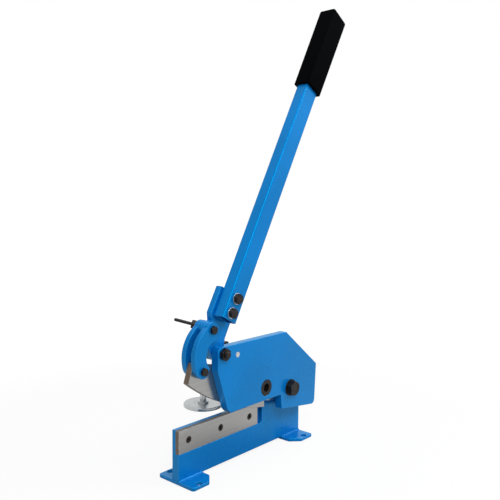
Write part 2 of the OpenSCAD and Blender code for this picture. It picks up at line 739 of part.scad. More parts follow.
module holddown_disc() color("gainsboro") in_place() at_spindle(disc_z) difference() {
    edge = disc_th / 6;
    collar_r = spindle_d * 5 / 6;
    rotate_extrude($fn = 96) polygon([[0, 0], [disc_d / 2 - edge, 0], [disc_d / 2, edge],
        [disc_d / 2, disc_th - edge], [disc_d / 2 - edge, disc_th],
        [collar_r, disc_th], [collar_r, disc_th + collar_h], [0, disc_th + collar_h]]);
    translate([0, 0, disc_th]) cylinder(h = collar_h + over, d = spindle_d + 2 * pin_room);
    translate([0, 0, -over]) cylinder(h = disc_th + 2 * over, d = spigot_d + 2 * pin_room);
    translate([0, 0, -over]) cylinder(h = disc_recess + over, d = spindle_d + disc_recess);
}
module holddown_disc_screw() color("dimgray") in_place()
    at_spindle(disc_z + disc_recess - pin_room) {
        translate([0, 0, -disc_recess * 0.8])
            cylinder(h = disc_recess * 0.8, d = spindle_d + disc_recess / 2);
        cylinder(h = 3 * disc_th - over, d = disc_screw_d);
    }
module along_rod() {
    at_spindle(hub_z + hub_h / 2)
        rotate([0, 0, rod_turn]) rotate([rod_tilt - 90, 0, 0]) children();
}
module holddown_hub() color("dimgray") in_place() difference() {
    at_spindle(hub_z) rotate_extrude() polygon([[0, 0], [hub_d / 2 - hub_bevel, 0],
        [hub_d / 2, hub_bevel], [hub_d / 2, hub_h - 2 * hub_bevel],
        [hub_d / 2 - 2 * hub_bevel, hub_h], [0, hub_h]]);
    at_spindle(hub_z - over) cylinder(h = hub_h / 4 + over, d = spindle_d + 2 * pin_room);
    along_rod() cylinder(h = hub_d, d = rod_d + 2 * pin_room);
}
module holddown_rod() color("dimgray") in_place() along_rod() {
    length = rod_reach / cos(rod_tilt) - rod_d / 2;
    translate([0, 0, pin_room]) cylinder(h = length - pin_room, d = rod_d);
    translate([0, 0, length]) sphere(d = rod_d);
}

main_frame();
near_foot();
far_foot();
lower_blade();
lower_blade_screws();
lower_blade_nuts();
front_cheek();
cheek_spacer();
tie_pin();
tie_sleeve();
fixed_cutter_bush();
upper_blade();
moving_cutter_bush();
blade_pivot_bolt();
blade_pivot_washers();
blade_pivot_nut();
lever_pivot_bolt();
lever_pivot_washer();
lever_pivot_nut();
lever_plate();
handle_tube();
handle_grip();
tube_bolts();
tube_washers();
tube_nuts();
front_link();
rear_link();
upper_link_bolt();
lower_link_bolt();
link_washers();
link_nuts();
holddown_arm();
tie_nut();
holddown_lock_nut();
holddown_spindle();
holddown_disc();
holddown_disc_screw();
holddown_hub();
holddown_rod();
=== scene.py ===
"""Bench lever shear: paint, ground steel, threads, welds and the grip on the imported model."""

import json
import math

import bmesh
import bpy
from mathutils import Matrix, Vector


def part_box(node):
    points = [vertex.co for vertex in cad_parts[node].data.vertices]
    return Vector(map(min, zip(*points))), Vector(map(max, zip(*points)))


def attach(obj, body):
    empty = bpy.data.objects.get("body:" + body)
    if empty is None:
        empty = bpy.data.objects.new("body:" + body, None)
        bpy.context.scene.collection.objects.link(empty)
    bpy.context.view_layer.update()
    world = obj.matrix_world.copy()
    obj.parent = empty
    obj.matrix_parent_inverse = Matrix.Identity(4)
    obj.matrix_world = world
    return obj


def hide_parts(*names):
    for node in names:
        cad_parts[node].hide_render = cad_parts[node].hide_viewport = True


bl_info = {
    "name": "Bench Lever Shear",
    "version": (1, 0, 0),
    "blender": (4, 5, 0),
    "location": "3D View > Sidebar > Shear",
    "description": "Dresses a bench lever shear with paint, ground steel, threads and welds",
    "category": "Object",
}

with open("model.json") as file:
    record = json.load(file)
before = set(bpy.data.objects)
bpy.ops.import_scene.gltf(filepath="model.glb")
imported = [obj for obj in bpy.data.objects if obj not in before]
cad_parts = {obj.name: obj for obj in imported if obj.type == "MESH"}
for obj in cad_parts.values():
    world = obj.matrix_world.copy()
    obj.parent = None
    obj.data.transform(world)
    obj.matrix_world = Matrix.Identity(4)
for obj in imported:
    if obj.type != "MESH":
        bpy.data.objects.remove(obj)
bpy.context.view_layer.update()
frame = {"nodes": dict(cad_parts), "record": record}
BODY_OF = {
    node: body
    for body, nodes in frame["record"]["behaviour"]["bodies"].items()
    for node in nodes
}
MM = 0.001

# Tolerances of the copies of CAD meshes
JOIN_DISTANCE = 0.002 * MM
FLAT_ANGLE = math.radians(0.8)
BEVEL_ANGLE = math.radians(38)
SAME_PLACE = 0.1 * MM

# Forms that the solids leave to this script
FOOT_BLEND = math.radians(80)
BOSS_RADIUS = 8 * MM
BOSS_REACH = 22 * MM
WELD_SPARE = 1.5
WELD_INSET = 0.4

# Threads: sides of the bar, rows in a turn, depth as a share of the pitch
THREAD_SIDES = 32
ROWS_PER_TURN = 8
THREAD_DEPTH = 0.6
THREAD_OVERLAP = 0.3 * MM

# Floor: its tone under the lamps, its white, how much of the white shows near the
# shear, where it is all white, and where mirrors begin to see it white
FLOOR_TONE = 0.42
FLOOR_WHITE = 1.12
WHITE_NEAR = 0.80
WHITE_FADE = (0.5, 1.5)
MIRROR_FADE = (0.06, 0.22)

# Lamps: place, target, size, and the value of ShearStage that gives the power
LAMPS = {
    "key_lamp": ((-1.3, -1.6, 2.1), (0, 0, 0.3), 1.4, "key"),
    "top_lamp": ((0.4, -0.2, 2.4), (0.05, 0, 0.2), 1.8, "fill"),
    "side_lamp": ((1.4, -1.6, 1.8), (0, 0, 0.3), 1.2, "side"),
}


def low(node):
    """Lowest corner of a node's box."""
    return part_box(node)[0]


def high(node):
    """Highest corner of a node's box."""
    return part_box(node)[1]


def middle(node):
    """Centre of a node's box."""
    return (low(node) + high(node)) / 2


class ShearPaint(bpy.types.PropertyGroup):
    """Colours of the finishes."""

    blue: bpy.props.FloatVectorProperty(
        name="Blue enamel", description="Colour of the sprayed plates",
        subtype="COLOR", size=3, min=0, max=1, default=(0.0005, 0.186, 0.60))
    primer: bpy.props.FloatVectorProperty(
        name="Chip", description="Colour under a chip in the enamel",
        subtype="COLOR", size=3, min=0, max=1, default=(0.05, 0.10, 0.17))
    steel: bpy.props.FloatVectorProperty(
        name="Ground steel", description="Colour of the blades' ground faces",
        subtype="COLOR", size=3, min=0, max=1, default=(0.325, 0.322, 0.316))
    scale: bpy.props.FloatVectorProperty(
        name="Blade edges", description="Brown hardening scale on the blades' narrow faces",
        subtype="COLOR", size=3, min=0, max=1, default=(0.120, 0.086, 0.060))
    oxide: bpy.props.FloatVectorProperty(
        name="Black oxide", description="Colour of bolts, nuts and bushes",
        subtype="COLOR", size=3, min=0, max=1, default=(0.008, 0.0075, 0.008))
    oxide_tint: bpy.props.FloatVectorProperty(
        name="Oxide tint", description="Brown tint on the rubbed parts of the black oxide",
        subtype="COLOR", size=3, min=0, max=1, default=(0.060, 0.032, 0.018))
    zinc: bpy.props.FloatVectorProperty(
        name="Zinc", description="Colour of the plated hold-down and washers",
        subtype="COLOR", size=3, min=0, max=1, default=(0.50, 0.52, 0.53))
    rubber: bpy.props.FloatVectorProperty(
        name="Grip", description="Colour of the rubber grip",
        subtype="COLOR", size=3, min=0, max=1, default=(0.0012, 0.0013, 0.0017))


class ShearDetail(bpy.types.PropertyGroup):
    """Sizes of the fine detail."""

    plate_edge: bpy.props.FloatProperty(
        name="Plate edge", description="Rounding of the painted plates' edges",
        default=0.9 * MM, min=0.2 * MM, max=2 * MM, unit="LENGTH")
    blade_edge: bpy.props.FloatProperty(
        name="Blade edge", description="Rounding of the blades' edges",
        default=0.35 * MM, min=0.1 * MM, max=1 * MM, unit="LENGTH")
    small_edge: bpy.props.FloatProperty(
        name="Fastener edge", description="Rounding of bolts, nuts and washers",
        default=0.28 * MM, min=0.1 * MM, max=0.6 * MM, unit="LENGTH")
    weld_pitch: bpy.props.FloatProperty(
        name="Weld ripple", description="Distance between two ripples of a weld",
        default=2.1 * MM, min=1 * MM, max=4 * MM, unit="LENGTH")
    weld_size: bpy.props.FloatProperty(
        name="Weld size", description="Radius of a weld bead",
        default=2.2 * MM, min=1 * MM, max=5 * MM, unit="LENGTH")
    blade_lean: bpy.props.FloatProperty(
        name="Blade end lean", description="How far the blade's near top corner stands back",
        default=8.9 * MM, min=0, max=15 * MM, unit="LENGTH")
    plain_end: bpy.props.FloatProperty(
        name="Plain spindle end", description="Length of the spindle's end without thread",
        default=38 * MM, min=2 * MM, max=60 * MM, unit="LENGTH")
    pitch_share: bpy.props.FloatProperty(
        name="Thread pitch share", description="Pitch of a thread as a share of its diameter",
        default=0.146, min=0.1, max=0.2, subtype="FACTOR")


class ShearStage(bpy.types.PropertyGroup):
    """Camera, floor and lamps."""

    eye: bpy.props.FloatVectorProperty(
        name="Camera", description="Place of the camera",
        size=3, unit="LENGTH", default=(-0.8433, -0.7554, 0.4675))
    yaw: bpy.props.FloatProperty(
        name="Yaw", description="Turn of the camera from straight behind the front",
        subtype="ANGLE", default=math.radians(48.81))
    pitch: bpy.props.FloatProperty(
        name="Pitch", description="How far the camera looks down",
        subtype="ANGLE", default=math.radians(4.26))
    roll: bpy.props.FloatProperty(
        name="Roll", description="Roll of the camera",
        subtype="ANGLE", default=math.radians(0.34))
    lens: bpy.props.FloatProperty(
        name="Lens", description="Focal length in millimetres on a 36 mm sensor",
        default=44.95, min=20, max=120)
    floor_width: bpy.props.FloatProperty(
        name="Floor", description="Width of the floor",
        default=8, min=2, max=20, unit="LENGTH")
    sky: bpy.props.FloatProperty(
        name="Sky", description="Strength of the light from all round",
        default=0.28, min=0, max=2)
    key: bpy.props.FloatProperty(
        name="Key", description="Power of the lamp on the operator's side",
        default=36, min=0, max=200, unit="POWER")
    fill: bpy.props.FloatProperty(
        name="Top", description="Power of the lamp above",
        default=24, min=0, max=200, unit="POWER")
    side: bpy.props.FloatProperty(
        name="Side", description="Power of the lamp on the right of the front",
        default=26, min=0, max=200, unit="POWER")


GROUPS = (
    ("shear_paint", ShearPaint),
    ("shear_detail", ShearDetail),
    ("shear_stage", ShearStage),
)


def paint_values():
    """The colours in use."""
    return bpy.context.scene.shear_paint


def detail_values():
    """The detail sizes in use."""
    return bpy.context.scene.shear_detail


class Wire:
    """An output socket that sums and products can be written with."""

    def __init__(self, board, socket):
        self.board = board
        self.socket = socket

    def math(self, operation, *values):
        inputs = dict(enumerate(values))
        return self.board.node("ShaderNodeMath", {"operation": operation}, inputs)

    def __add__(self, other):
        return self.math("ADD", self, other)

    __radd__ = __add__

    def __sub__(self, other):
        return self.math("SUBTRACT", self, other)

    def __rsub__(self, other):
        return self.math("SUBTRACT", other, self)

    def __mul__(self, other):
        return self.math("MULTIPLY", self, other)

    __rmul__ = __mul__

    def __truediv__(self, other):
        return self.math("DIVIDE", self, other)

    def __rtruediv__(self, other):
        return self.math("DIVIDE", other, self)

    def __abs__(self):
        return self.math("ABSOLUTE", self)

    def sine(self):
        return self.math("SINE", self)

    def root(self):
        return self.math("SQRT", self)

    def fraction(self):
        return self.math("FRACT", self)

    def smaller(self, other):
        return self.math("MINIMUM", self, other)

    def larger(self, other):
        return self.math("MAXIMUM", self, other)

    def step(self, start, end):
        """0 below start, 1 above end and smooth between them."""
        inputs = {"Value": self, "From Min": start, "From Max": end}
        settings = {"interpolation_type": "SMOOTHSTEP"}
        return self.board.node("ShaderNodeMapRange", settings, inputs)


class Board:
    """A node tree that is built from expressions."""

    def __init__(self, tree):
        self.tree = tree

    def node(self, kind, settings=None, inputs=None, out=0):
        """Adds a node: its settings first, then the values or links of its sockets."""
        made = self.tree.nodes.new(kind)
        for key, value in (settings or {}).items():
            setattr(made, key, value)
        for key, value in (inputs or {}).items():
            if isinstance(value, Wire):
                self.tree.links.new(value.socket, made.inputs[key])
            else:
                made.inputs[key].default_value = value
        return Wire(self, made.outputs[out]) if made.outputs else None

    def parts(self, vector):
        """The three components of a vector."""
        first = self.node("ShaderNodeSeparateXYZ", inputs={0: vector})
        return [Wire(self, socket) for socket in first.socket.node.outputs]


class Finish(Board):
    """A material with one Principled shader."""

    def __init__(self, name, **constants):
        self.material = bpy.data.materials.new(name)
        self.material.use_nodes = True
        super().__init__(self.material.node_tree)
        self.shader = self.tree.nodes["Principled BSDF"]
        self.place = self.node("ShaderNodeTexCoord", out="Object")
        self.normal = self.node("ShaderNodeTexCoord", out="Normal")
        for socket, value in constants.items():
            self.shader.inputs[socket.replace("_", " ")].default_value = value

    def noise(self, scale, detail=3.0, roughness=0.5, stretch=None):
        """Noise on the object's own coordinates."""
        place = self.place
        if stretch:
            place = self.node("ShaderNodeMapping", inputs={"Vector": place, "Scale": stretch})
        inputs = {"Vector": place, "Scale": scale, "Detail": detail, "Roughness": roughness}
        return self.node("ShaderNodeTexNoise", inputs=inputs)

    def mix(self, first, second, factor):
        """A colour between two, each a socket or a plain colour."""
        inputs = {0: factor}
        for key, colour in ((6, first), (7, second)):
            inputs[key] = colour if isinstance(colour, Wire) else (*colour, 1.0)
        return self.node("ShaderNodeMix", {"data_type": "RGBA"}, inputs, out=2)

    def set(self, socket, value):
        """Feeds one of the shader's sockets."""
        self.tree.links.new(value.socket, self.shader.inputs[socket])

    def bump(self, height, distance, strength=1.0):
        """Raises the surface by a height."""
        inputs = {"Height": height, "Distance": distance, "Strength": strength}
        self.set("Normal", self.node("ShaderNodeBump", inputs=inputs))


class Former(Board):
    """A Geometry Nodes tree with named lengths as its inputs."""

    def __init__(self, name, *lengths, counts=()):
        super().__init__(bpy.data.node_groups.new(name, "GeometryNodeTree"))
        self.tree.is_modifier = True
        faces = self.tree.interface
        faces.new_socket("Geometry", in_out="INPUT", socket_type="NodeSocketGeometry")
        faces.new_socket("Geometry", in_out="OUTPUT", socket_type="NodeSocketGeometry")
        kinds = [(label, "NodeSocketFloat") for label in lengths]
        kinds += [(label, "NodeSocketInt") for label in counts]
        self.keys = {
            label: faces.new_socket(label, in_out="INPUT", socket_type=kind).identifier
            for label, kind in kinds
        }
        self.entry = self.tree.nodes.new("NodeGroupInput")

    def given(self, label):
        """A named input of the tree."""
        return Wire(self, self.entry.outputs[label])

    def finish(self, shape, surface):
        """Ends the tree in real geometry with its finish."""
        real = self.node("GeometryNodeRealizeInstances", inputs={0: shape})
        dressed = self.node("GeometryNodeSetMaterial", inputs={0: real, "Material": surface})
        leave = self.tree.nodes.new("NodeGroupOutput")
        self.tree.links.new(dressed.socket, leave.inputs[0])

    def form(self, obj, values):
        """Runs the tree on an object with its own values and leaves a plain mesh."""
        modifier = obj.modifiers.new(self.tree.name, "NODES")
        modifier.node_group = self.tree
        for label, value in values.items():
            modifier[self.keys[label]] = value
        return flatten(obj)


def shade(colour, factor):
    """A colour times a number."""
    return tuple(min(1.0, c * factor) for c in colour)


def enamel(name, chipped_and_highlit_edges):
    """Sprayed enamel: orange peel, patches of uneven coat thickness, and on the edge finish
    chipped spots and a paler colour, partly paint lying less deep on the edges and partly
    painted highlight.
    """
    values = paint_values()
    blue = tuple(values.blue)
    finish = Finish(
        name, Metallic=0.15, IOR=1.3, Specular_IOR_Level=1.0, Specular_Tint=(0.02, 1, 0.25, 1))
    patches = finish.noise(9, detail=4)
    nibs = finish.noise(700, detail=1)
    scratches = finish.noise(14, detail=2, stretch=(1, 40, 7)).step(0.69, 0.72)
    colour = finish.mix(shade(blue, 0.90), shade(blue, 1.07), patches.step(0.3, 0.7))
    colour = finish.mix(colour, shade(blue, 1.15), 0.2 * scratches)
    rough = 0.20 + 0.10 * finish.noise(45, detail=2) + 0.06 * patches + 0.04 * scratches
    height = finish.noise(230, detail=2, roughness=0.4) + 0.12 * nibs - 0.1 * scratches
    if chipped_and_highlit_edges:
        # Paler blue on the edge finish: partly paint lying less deep on the edges, partly a
        # painted highlight.
        edge_highlight_and_thin_paint = (blue[0] + 0.03, blue[1] * 1.28, blue[2] * 1.15)
        spots = finish.noise(310, detail=3, roughness=0.6).step(0.665, 0.70)
        colour = finish.mix(finish.mix(colour, edge_highlight_and_thin_paint, 0.5), tuple(values.primer), spots)
        rough = rough + 0.25 * spots
        height = 0.4 * height - 0.8 * spots
    finish.set("Base Color", colour)
    finish.set("Roughness", rough)
    finish.bump(height, 0.05 * MM, 0.3)
    return finish.material


def ground_steel(name, stretch):
    """Ground blade steel: fine lines, faint stains, brown scale on the narrow faces, and painted
    shade as dark steel on the upward faces.
    """
    values = paint_values()
    steel = tuple(values.steel)
    finish = Finish(name, Specular_IOR_Level=0.5)
    lines = finish.noise(1, detail=4, roughness=0.7, stretch=stretch)
    stains = finish.noise(26, detail=5, roughness=0.62)
    colour = finish.mix(shade(steel, 0.90), shade(steel, 1.10), lines.step(0.3, 0.7))
    colour = finish.mix(colour, shade(values.scale, 2.1), 0.16 * stains.step(0.52, 0.78))
    _, across, upward = finish.parts(finish.normal)
    mask = (1 - abs(across)).step(0.5, 0.75)
    mottle = finish.noise(120, detail=4)
    scale = finish.mix(shade(values.scale, 0.65), shade(values.scale, 1.5), mottle)
    # Upward faces get dark steel in place of the brown scale: painted shade on the blades' tops.
    scale = finish.mix(scale, shade(steel, 0.32), upward.step(0.6, 0.9))
    finish.set("Base Color", finish.mix(colour, scale, mask))
    finish.set("Metallic", 0.9 - 0.6 * mask)
    finish.set("Roughness", 0.17 + 0.08 * lines + 0.26 * mask + 0.08 * stains)
    finish.bump(lines + 0.8 * mask * mottle, 0.03 * MM, 0.45)
    return finish.material


def bright_edge(name):
    """The rubbed edge of a ground blade."""
    values = paint_values()
    finish = Finish(name, Metallic=0.8)
    wear = finish.noise(180, detail=3)
    dull = shade(values.scale, 1.4)
    finish.set("Base Color", finish.mix(dull, shade(values.steel, 1.2), wear.step(0.35, 0.7)))
    finish.set("Roughness", 0.30 + 0.2 * wear)
    return finish.material


def black_oxide(name, tint):
    """Oiled black oxide, brown where it is rubbed."""
    values = paint_values()
    finish = Finish(name, Specular_IOR_Level=0.22, Metallic=0.1)
    clouds = finish.noise(110, detail=4, roughness=0.6)
    grain = finish.noise(1500, detail=2)
    mask = tint * clouds.step(0.45, 0.72)
    finish.set("Base Color", finish.mix(tuple(values.oxide), tuple(values.oxide_tint), mask))
    finish.set("Roughness", 0.30 + 0.24 * clouds)
    finish.bump(grain + clouds, 0.03 * MM, 0.6)
    return finish.material


def zinc_plate(name, centre=None):
    """Bright zinc, with turning marks round an upright axis where one is given."""
    values = paint_values()
    zinc = tuple(values.zinc)
    finish = Finish(name, Metallic=0.9)
    clouds = finish.noise(60, detail=4)
    colour = finish.mix(shade(zinc, 0.82), shade(zinc, 1.12), clouds)
    rough = 0.20 + 0.14 * clouds
    height = finish.noise(900, detail=2)
    if centre is not None:
        across, along, _ = finish.parts(finish.place)
        across, along = across - centre.x, along - centre.y
        radius = (across * across + along * along).root()
        rings = (radius * (math.tau / (0.9 * MM))).sine()
        worn = finish.noise(1, detail=3, stretch=(60, 60, 60)).step(0.45, 0.62)
        colour = finish.mix(colour, shade(zinc, 0.66), 0.35 * worn + 0.08 * rings)
        height = height + 0.5 * rings
        rough = rough + 0.05 * rings + 0.1 * worn
    finish.set("Base Color", colour)
    finish.set("Roughness", rough)
    finish.bump(height, 0.02 * MM, 0.5)
    return finish.material


def grip_rubber(name):
    """Matt rubber with a fine moulded grain and a few pale rub marks."""
    values = paint_values()
    rubber = tuple(values.rubber)
    finish = Finish(name, IOR=1.04)
    grain = finish.noise(1300, detail=2)
    clouds = finish.noise(30, detail=3)
    rubs = finish.noise(55, detail=5, roughness=0.65).step(0.60, 0.74)
    colour = finish.mix(shade(rubber, 0.75), shade(rubber, 1.6), clouds)
    finish.set("Base Color", finish.mix(colour, shade(rubber, 3.2), 0.5 * rubs))
    finish.set("Roughness", 0.46 + 0.14 * grain + 0.12 * rubs)
    finish.bump(grain, 0.06 * MM, 0.6)
    return finish.material


MADE = {}


def material(kind):
    """Each finish is made once, when the first piece asks for it."""
    along = (9, 260, 900)
    makers = {
        "enamel": lambda: enamel("blue_enamel", False),
        # The edge finish carries the chips and the paler, partly painted highlight colour.
        "enamel_edge": lambda: enamel("blue_enamel_edge", True),
        "blade_steel": lambda: ground_steel("blade_steel", along),
        "steel_edge": lambda: bright_edge("blade_edge_steel"),
        "oxide": lambda: black_oxide("black_oxide", 0.4),
        "oxide_edge": lambda: black_oxide("black_oxide_edge", 1.0),
        "zinc": lambda: zinc_plate("zinc_plate"),
        "zinc_disc": lambda: zinc_plate("zinc_turned", middle("holddown_disc")),
        "rubber": lambda: grip_rubber("grip_rubber"),
    }
    if kind not in MADE:
        MADE[kind] = makers[kind]()
    return MADE[kind]


def new_object(name, mesh):
    """A new object in the scene."""
    made = bpy.data.objects.new(name, mesh)
    bpy.context.scene.collection.objects.link(made)
    return made


def flatten(obj):
    """Turns an object with live modifiers into a plain mesh of the same shape."""
    graph = bpy.context.evaluated_depsgraph_get()
    mesh = bpy.data.meshes.new_from_object(obj.evaluated_get(graph))
    obj.modifiers.clear()
    obj.data = mesh
    return obj


def smooth(obj, angle=35):
    """Smooth shading that leaves wide faces flat and steep edges sharp."""
    for face in obj.data.polygons:
        face.use_smooth = True
    obj.data.set_sharp_from_angle(angle=math.radians(angle))
    weighted = obj.modifiers.new("flat_faces", "WEIGHTED_NORMAL")
    weighted.keep_sharp = True
    return flatten(obj)


def settle(obj, body, nodes=()):
    """Hands a finished piece to its body and its CAD nodes."""
    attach(obj, body)
    if nodes:
        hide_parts(*nodes)
    return obj


def joined_faces(node):
    """A CAD node's mesh with its triangles joined into flat faces."""
    work = bmesh.new()
    work.from_mesh(frame["nodes"][node].data)
    bmesh.ops.remove_doubles(work, verts=work.verts, dist=JOIN_DISTANCE)
    bmesh.ops.dissolve_limit(
        work, angle_limit=FLAT_ANGLE, verts=work.verts, edges=work.edges)
    return work


def write(work, name, *kinds):
    """A new object from a bmesh, with its finishes in their slots."""
    mesh = bpy.data.meshes.new(name)
    work.to_mesh(mesh)
    work.free()
    for kind in kinds:
        mesh.materials.append(material(kind))
    return new_object(name, mesh)


def rounded(piece, width, segments=2):
    """Rounds the edges and gives them the piece's second finish."""
    bevel = piece.modifiers.new("edge", "BEVEL")
    bevel.width = width
    bevel.segments = segments
    bevel.limit_method = "ANGLE"
    bevel.angle_limit = BEVEL_ANGLE
    bevel.use_clamp_overlap = False
    bevel.loop_slide = False
    bevel.material = 1
    return flatten(piece)


def keep_in_box(piece, node):
    """Takes back the fractions of a millimetre by which rounding leaves the node's box."""
    lo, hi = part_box(node)
    for vert in piece.data.vertices:
        vert.co = [min(max(at, least), most) for at, least, most in zip(vert.co, lo, hi)]


def dress(node, face, edge, width, added=(), reshape=None):
    """A CAD node with rounded edges, one finish on its faces and one on its edges."""
    work = joined_faces(node)
    if reshape:
        reshape(work)
    for stub in added:
        cut_island(work, stub)
    piece = rounded(write(work, node + "_finished", face, edge), width)
    keep_in_box(piece, node)
    for stub in added:
        absorb(piece, thread(stub, edge))
    return settle(smooth(piece), BODY_OF[node], [node])


def carry_arc_round_foot(work):
    """Carries a link's back arc on round its foot, where the solid stops it with a step."""
    foot, head = middle("lower_link_bolt"), middle("upper_link_bolt")
    along = Vector((head.x - foot.x, 0, head.z - foot.z)).normalized()
    left = Vector((-along.z, 0, along.x))
    radius = foot.z - low("front_link").z
    places = [((vert.co - foot).dot(along), (vert.co - foot).dot(left), vert)
              for vert in work.verts]
    corner = max(side for up, side, _ in places if abs(up) < 2 * SAME_PLACE)
    for up, side, vert in places:
        reach, turn = math.hypot(up, side), math.atan2(-up, side)
        if abs(reach - radius) < SAME_PLACE and -0.01 < turn < FOOT_BLEND:
            grown = radius + (corner - radius) * (1 - max(0, turn) / FOOT_BLEND) ** 2
            vert.co += (grown / reach - 1) * (up * along + side * left)
    bmesh.ops.remove_doubles(work, verts=work.verts, dist=SAME_PLACE / 2)


def lean_blade_end(work):
    """Moves the top corner of the upper blade's near end back along the blade's top edge."""
    top = max(vert.co.z for vert in work.verts)
    for vert in [vert for vert in work.verts if vert.co.z > top - SAME_PLACE]:
        longest = max(vert.link_edges, key=lambda edge: edge.calc_length())
        way = (longest.other_vert(vert).co - vert.co).normalized()
        vert.co += way * detail_values().blade_lean


class Stub:
    """A stretch of thread along Y or Z: its start, its signed length and its radius."""

    def __init__(self, start, axis, length, radius):
        self.start = start
        self.axis = axis
        self.length = length
        self.radius = radius

    def way(self):
        """The thread's direction."""
        way = Vector((0, 0, 0))
        way[self.axis] = math.copysign(1, self.length)
        return way

    def away(self, point):
        """Distance of a point from the thread's axis."""
        gap = point - self.start
        gap[self.axis] = 0
        return gap.length


def islands(work):
    """The separate solids of a bmesh, as lists of vertices."""
    left = set(work.verts)
    found = []
    while left:
        group, edge = [], [left.pop()]
        while edge:
            vert = edge.pop()
            group.append(vert)
            for link in vert.link_edges:
                other = link.other_vert(vert)
                if other in left:
                    left.remove(other)
                    edge.append(other)
        found.append(group)
    return found


def box_of(group):
    """Lowest and highest corner of some vertices."""
    places = [vert.co for vert in group]
    return tuple(Vector([pick(place[i] for place in places) for i in range(3)])
                 for pick in (min, max))


def stubs_past(bolts, nuts):
    """The threaded bolt ends that stand out of their nuts."""
    nut_work, bolt_work = joined_faces(nuts), joined_faces(bolts)
    nut_boxes = [box_of(group) for group in islands(nut_work)]
    found = []
    for group in islands(bolt_work):
        lo, hi = box_of(group)
        for nut_lo, nut_hi in nut_boxes:
            gap = (lo + hi - nut_lo - nut_hi) / 2
            side = -math.copysign(1, gap.y)
            face, tip = (nut_hi.y, hi.y) if side > 0 else (nut_lo.y, lo.y)
            if math.hypot(gap.x, gap.z) > 1 * MM or abs(tip - face) < 0.5 * MM:
                continue
            start = (lo + hi) / 2
            start.y = face - THREAD_OVERLAP * side
            stub = Stub(start, 1, tip - start.y, 0)
            stub.radius = max(stub.away(vert.co) for vert in group
                              if (vert.co.y - face) * side > -2 * SAME_PLACE)
            found.append(stub)
    nut_work.free()
    bolt_work.free()
    return found


def cut_island(work, stub):
    """Cuts a bolt off at the start of its thread and closes the cut."""
    for group in islands(work):
        lo, hi = box_of(group)
        centre = (lo + hi) / 2
        inside = lo[stub.axis] < stub.start[stub.axis] < hi[stub.axis]
        if stub.away(centre) > 1 * MM or not inside:
            continue
        edges = {edge for vert in group for edge in vert.link_edges}
        faces = {face for vert in group for face in vert.link_faces}
        cut = bmesh.ops.bisect_plane(
            work, geom=list(group) + list(edges) + list(faces), dist=0.001 * MM,
            plane_co=stub.start, plane_no=stub.way(), clear_outer=True)
        rim = [part for part in cut["geom_cut"] if isinstance(part, bmesh.types.BMEdge)]
        bmesh.ops.contextual_create(work, geom=rim)


def absorb(piece, other):
    """Adds another object's mesh to a piece, on the piece's second finish."""
    work = bmesh.new()
    work.from_mesh(piece.data)
    own = len(work.faces)
    work.from_mesh(other.data)
    work.faces.ensure_lookup_table()
    for face in work.faces[own:]:
        face.material_index = min(1, len(piece.data.materials) - 1)
    work.to_mesh(piece.data)
    work.free()
    bpy.data.objects.remove(other)


FORMERS = {}


def thread_former(surface):
    """A bar with a helical groove; both ends run out into a small chamfer."""
    former = Former("thread", "Radius", "Length", "Pitch", "Depth", counts=("Rows",))
    radius, length, pitch = (former.given(label) for label in ("Radius", "Length", "Pitch"))
    bar = former.node("GeometryNodeMeshCylinder", inputs={
        "Vertices": THREAD_SIDES, "Side Segments": former.given("Rows"),
        "Radius": radius, "Depth": length})
    x, y, z = former.parts(former.node("GeometryNodeInputPosition"))
    turn = y.math("ARCTAN2", y, x) / math.tau
    across = abs((z / pitch - turn).fraction() * 2 - 1)
    flank = ((across - 0.12) / 0.72).larger(0).smaller(1)
    run = ((length / 2 - abs(z)) / (0.6 * pitch)).smaller(1)
    share = 1 - former.given("Depth") / radius * (1 - flank.smaller(run))
    moved = former.node("ShaderNodeCombineXYZ", inputs={0: x * share, 1: y * share, 2: z})
    shaped = former.node("GeometryNodeSetPosition", inputs={0: bar, "Position": moved})
    former.finish(shaped, surface)
    return former


def thread(stub, kind):
    """Threaded bar on a stub's axis, as a plain mesh."""
    if "thread" not in FORMERS:
        FORMERS["thread"] = thread_former(material(kind))
    pitch = 2 * stub.radius * detail_values().pitch_share
    length = abs(stub.length)
    bar = new_object("thread", bpy.data.meshes.new("thread"))
    FORMERS["thread"].form(bar, {
        "Radius": stub.radius, "Length": length, "Pitch": pitch,
        "Depth": THREAD_DEPTH * pitch,
        "Rows": max(ROWS_PER_TURN, round(length / pitch * ROWS_PER_TURN))})
    turn = Vector((0, 0, 1)).rotation_difference(stub.way()).to_matrix().to_4x4()
    bar.data.transform(Matrix.Translation(stub.start + stub.way() * length / 2) @ turn)
    return bar


def weld_former(surface):
    """A bead with overlapping ripples along every edge of a mesh."""
    former = Former("weld", "Radius", "Pitch")
    pitch = former.given("Pitch")
    path = former.node("GeometryNodeMeshToCurve", inputs={0: former.given("Geometry")})
    path = former.node("GeometryNodeResampleCurve", {"mode": "LENGTH"},
                       {"Curve": path, "Length": pitch / 6})
    along = former.node("GeometryNodeSplineParameter", out="Length")
    place = former.node("GeometryNodeInputPosition")
    wander = former.node("ShaderNodeTexNoise", inputs={"Vector": place, "Scale": 160.0})
    ripple = (along / pitch + 0.6 * wander).fraction()
    swell = 0.86 + 0.16 * ripple.root() + 0.16 * (wander - 0.5)
    path = former.node("GeometryNodeSetCurveRadius", inputs={"Curve": path, "Radius": swell})
    ring = former.node("GeometryNodeCurvePrimitiveCircle",
                       inputs={"Resolution": 14, "Radius": former.given("Radius")})
    bead = former.node("GeometryNodeCurveToMesh",
                       inputs={"Curve": path, "Profile Curve": ring, "Fill Caps": True})
    former.finish(bead, surface)
    return former


class ShearOperator:
    """What the piece operators share."""

    bl_options = {"REGISTER", "UNDO"}

    def execute(self, context):
        self.make()
        return {"FINISHED"}


